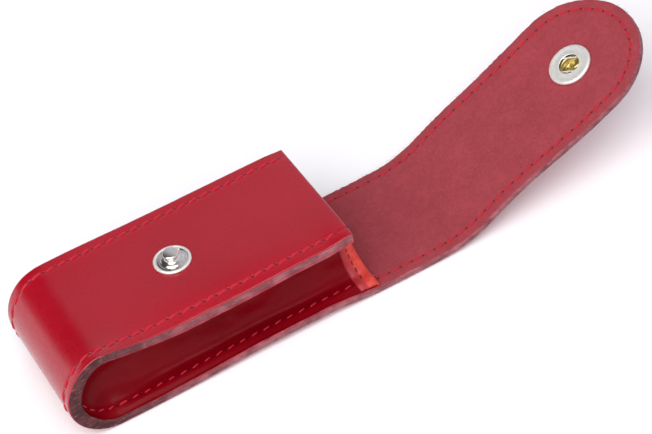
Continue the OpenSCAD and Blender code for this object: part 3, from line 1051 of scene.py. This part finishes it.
def make_post():
    """Hollow brass post seen in the socket, its mouth rolled outwards and its floor pressed in."""
    floor = [(0, -1.55), (0.7, -1.62), (1.3, -1.78), (2.2, -1.9)] + arc(2.4, -1.7, 0.2, -60, 0, 4)
    bore = [(2.56, -0.8), (2.56, 0.1), (2.66, 0.24), (2.95, 0.34)]
    lip = [(3.6, 0.38), (3.75, 0.33), (3.6, 0.27), (3.0, 0.2)]
    foot = [(3.0, -2.0), (5.1, -2.02), (5.15, -2.2), (5.1, -2.38), (0, -2.38)]
    bm = lathe(floor + bore + lip + foot)
    for v in bm.verts:
        r = v.co.xy.length
        if -1.95 * MM < v.co.z < -1.4 * MM and r < 2.3 * MM:
            v.co.z += 0.16 * MM * math.sin(PETALS * math.atan2(v.co.y, v.co.x)) * smooth(r / (1.2 * MM))
    return metal_piece("post", bm, SNAP_AT, ["brass"])


def make_cap():
    """Domed cap on the flap's grain side, its edge turned under."""
    dome_r, dome_top = 12.2, -3.95
    dome = [(r, min(dome_top + r * r / (2 * dome_r), -2.35)) for r in np.linspace(0, 5.35, 12)]
    edge = arc(5.72, -2.40, 0.42, -70, 60, 8)
    under = [(5.5, -2.03), (5.28, -2.03), (5.28, -2.44), (0, -2.44)]
    return metal_piece("cap", lathe(dome + edge + under), SNAP_AT, ["nickel"])


# ---------------------------------------------------------------- loose fibres along the flap's edge

FIBRE_COUNT = 170


def make_fibres():
    """Short fibres that stand out of the flap's cut edge."""
    bm = bmesh.new()
    uv = bm.loops.layers.uv.new("Leather")
    for _ in range(FIBRE_COUNT):
        c = RNG.uniform(SPLIT_S, RIM_L - SPLIT_S)
        foot = rim_point(c, HALF_W, 0)
        root = rim_point(c, HALF_W, RNG.uniform(0.0, 0.7) * STRIP_T)
        out = (rim_point(c, HALF_W + 1 * MM, 0) - foot).normalized()
        along = (rim_point(c + 1 * MM, HALF_W, 0) - foot).normalized()
        up = out.cross(along).normalized()
        length = RNG.uniform(0.3, 1.0) * MM
        lean, rise = RNG.uniform(-1.2, 1.2), RNG.uniform(-0.5, 0.5)
        rings = []
        for t in (0.0, 0.4, 0.75, 1.0):
            point = root + out * (length * t - 0.1 * MM) + along * (lean * length * t * t)
            point = point + up * (rise * length * t * t)
            radius = 0.045 * MM * (1 - 0.75 * t)
            rings.append(tube_ring(bm, point, along, up, radius, (0, 2.1, 4.2)))
        for wall in skin(bm, rings):
            for loop in wall.loops:
                loop[uv].uv = rim_place(c, HALF_W)
    bmesh.ops.recalc_face_normals(bm, faces=bm.faces)
    return make_object("edge_fibres", bm, ["edge"], smooth_angle=80)


# ---------------------------------------------------------------- camera, light and floor

def make_camera():
    """Long-lens camera above the near left corner, rolled so that the case climbs to the right."""
    azimuth, elevation, roll = math.radians(19.7), math.radians(43.2), math.radians(-12.7)
    distance = 0.637
    aim = Vector((0.0018, 0.0022, 0.012))
    forward = Vector((math.sin(azimuth) * math.cos(elevation), math.cos(azimuth) * math.cos(elevation),
                      -math.sin(elevation)))
    level = forward.cross(UP).normalized()
    upright = level.cross(forward)
    right = level * math.cos(roll) + upright * math.sin(roll)
    up = right.cross(forward)
    data = bpy.data.cameras.new("camera")
    data.sensor_width = 36
    data.lens = 132
    data.clip_start = 0.01
    camera = new_object("camera", data)
    rotation = Matrix((right, up, -forward)).transposed().to_4x4()
    camera.matrix_world = Matrix.Translation(aim - forward * distance) @ rotation
    bpy.context.scene.camera = camera


def area_light(name, place, target, size, power):
    """Soft box at place, facing target."""
    data = bpy.data.lights.new(name, "AREA")
    data.shape = "RECTANGLE"
    data.size, data.size_y = size
    data.energy = power
    light = new_object(name, data)
    light.location = place
    light.rotation_euler = (Vector(target) - Vector(place)).to_track_quat("-Z", "Y").to_euler()


SKY_HORIZON = 1.35                      # radiance of the studio's surround near the horizon
SKY_DARK = 0.04                         # above it, to the far left
SKY_LIGHT = 0.62                        # to the right
SKY_NEAR = 0.45                         # and behind the camera


def make_sky():
    """Studio surround: bright near the horizon, dimmer above it, darkest to the far left."""
    world = bpy.data.worlds.new("studio")
    world.use_nodes = True
    tree = world.node_tree
    direction = add(tree, "ShaderNodeTexCoord").outputs["Generated"]
    parts = add(tree, "ShaderNodeSeparateXYZ", Vector=direction)
    rightward = add(tree, "ShaderNodeVectorMath", {"operation": "DOT_PRODUCT"}, Vector=direction)
    rightward.inputs[1].default_value = (0.94, 0.34, 0.0)
    upper = map_range(tree, rightward.outputs["Value"], 0.12, 0.50, SKY_DARK, SKY_LIGHT)
    near = map_range(tree, parts.outputs["Y"], 0.2, -0.4, 0.0, SKY_NEAR)
    above = math_node(tree, "MAXIMUM", upper, near)
    low = map_range(tree, parts.outputs["Z"], 0.34, 0.12)
    high = math_node(tree, "SUBTRACT", 1.0, low)
    level = math_node(tree, "MULTIPLY_ADD", low, SKY_HORIZON, math_node(tree, "MULTIPLY", high, above))
    set_inputs(tree, tree.nodes["Background"], Strength=level, Color=(0.99, 0.96, 1.08, 1))
    bpy.context.scene.world = world


FLOOR_Z = -0.35 * MM                    # just under the thread on the back panel


def make_studio():
    """Pale floor, bright surround and one large soft box."""
    mesh = bpy.data.meshes.new("floor")
    size = 3.0
    corners = [(-size, -size, 0), (size, -size, 0), (size, size, 0), (-size, size, 0)]
    mesh.from_pydata(corners, [], [(0, 1, 2, 3)])
    floor = new_object("floor", mesh)
    material, tree, shader = new_material("studio_floor")
    set_inputs(tree, shader, Base_Color=(0.93, 0.93, 0.93, 1), Roughness=0.9, Specular_IOR_Level=0.1)
    mesh.materials.append(material)
    floor.location.z = FLOOR_Z
    make_sky()
    area_light("key_box", (-0.55, -0.6, 1.1), (0, 0, 0), (1.6, 1.6), 27.5)
    bpy.context.scene.view_settings.view_transform = "Standard"


# ---------------------------------------------------------------- assembly

def inner_face(c):
    """Depth of the inner face that the stitches lie on: the gusset's flange, or the strip's flesh side."""
    s = min(c, RIM_L - c)
    if s > CASE_END_S:
        return groove_depth(SEAM_R)
    from_bend = max(FRONT_L - s, s - FRONT_L - BEND_L, 0)
    curve = channel_curve(smooth(1 - from_bend / BOWL_RUN))
    reach = np.interp(STITCH_MARGIN, [depth for _, depth in curve], [reach for reach, _ in curve])
    return reach - (MID_Z - STRIP_T) + groove_depth(SEAM_R)


def grain_face(c):
    """Depth of the bottom of the groove on the grain side."""
    return STRIP_T - groove_depth(SEAM_R)


def stand_for(piece, slot, *nodes):
    """Hides these CAD nodes, which the piece stands in for. The piece and slot are not used."""
    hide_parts(*nodes)


def bend_over(piece):
    """Bakes a piece's transform into its mesh."""
    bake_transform(piece)


STITCH_FACES = ((grain_face, 1, THREAD_D), (inner_face, -1, BOBBIN_D))


def build_case():
    """Everything that belongs to the case itself, with the flap's root."""
    ranges = [(0, SPLIT_S), (RIM_L - SPLIT_S, RIM_L)]
    body = strip_piece("leather_body", ranges, STUD_AT.to_translation(), UP, RIVET_HOLE_R)
    stand_for(body, "strip_leather", "case_shell", "flap_riser")
    bend_over(body)
    for side, label in ((-1, "near"), (1, "far")):
        gusset = make_gusset(f"side_gusset_{label}", side)
        binding = make_binding(f"mouth_binding_{label}", side)
        stitches = binding_stitches(f"binding_stitches_{label}", side)
        stand_for(gusset, "gusset_leather", f"gusset_{label}")
        stand_for(binding, "binding_leather", f"gusset_binding_{label}")
        stand_for(stitches, "thread", f"binding_thread_{label}")
        for piece in (gusset, binding, stitches):
            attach(piece, "case")
    for label, (c0, c1) in zip(("near", "far"), ranges):
        seam = rim_stitches(f"seam_stitches_{label}", c0, c1, STITCH_FACES)
        stand_for(seam, "thread", f"seam_thread_{label}")
        bend_over(seam)


def build_flap():
    """The flap beyond the middle of its riser, with its stitching."""
    snap_axis = (SNAP_AT.to_3x3() @ UP).normalized()
    c0, c1 = SPLIT_S, RIM_L - SPLIT_S
    flap = strip_piece("leather_flap", [(c0, c1)], SNAP_AT.to_translation(), snap_axis, POST_HOLE_R)
    stand_for(flap, "strip_leather", "flap_front")
    seam = rim_stitches("flap_stitches", c0, c1, STITCH_FACES)
    stand_for(seam, "thread", "flap_thread", "riser_thread")
    fibres = make_fibres()
    for piece in (flap, seam, fibres):
        bend_over(piece)


def build_snap():
    """The metal pieces."""
    pieces = (
        (make_stud(), "snap_stud", "nickel", "case"),
        (make_rivet(), "stud_rivet", "nickel", "case"),
        (make_socket(), "snap_socket", "nickel", "flap"),
        (make_cap(), "snap_cap", "nickel", "flap"),
        (make_post(), "cap_post", "brass", "flap"),
    )
    for piece, node, slot, body in pieces:
        stand_for(piece, slot, node)
        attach(piece, body)
    for label in ("upper", "lower"):
        wire = make_wire(f"{label}_wire", f"socket_spring_{label}")
        stand_for(wire, "spring_steel", f"socket_spring_{label}")
        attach(wire, f"spring_{label}")


make_camera()
make_studio()
build_case()
build_flap()
build_snap()
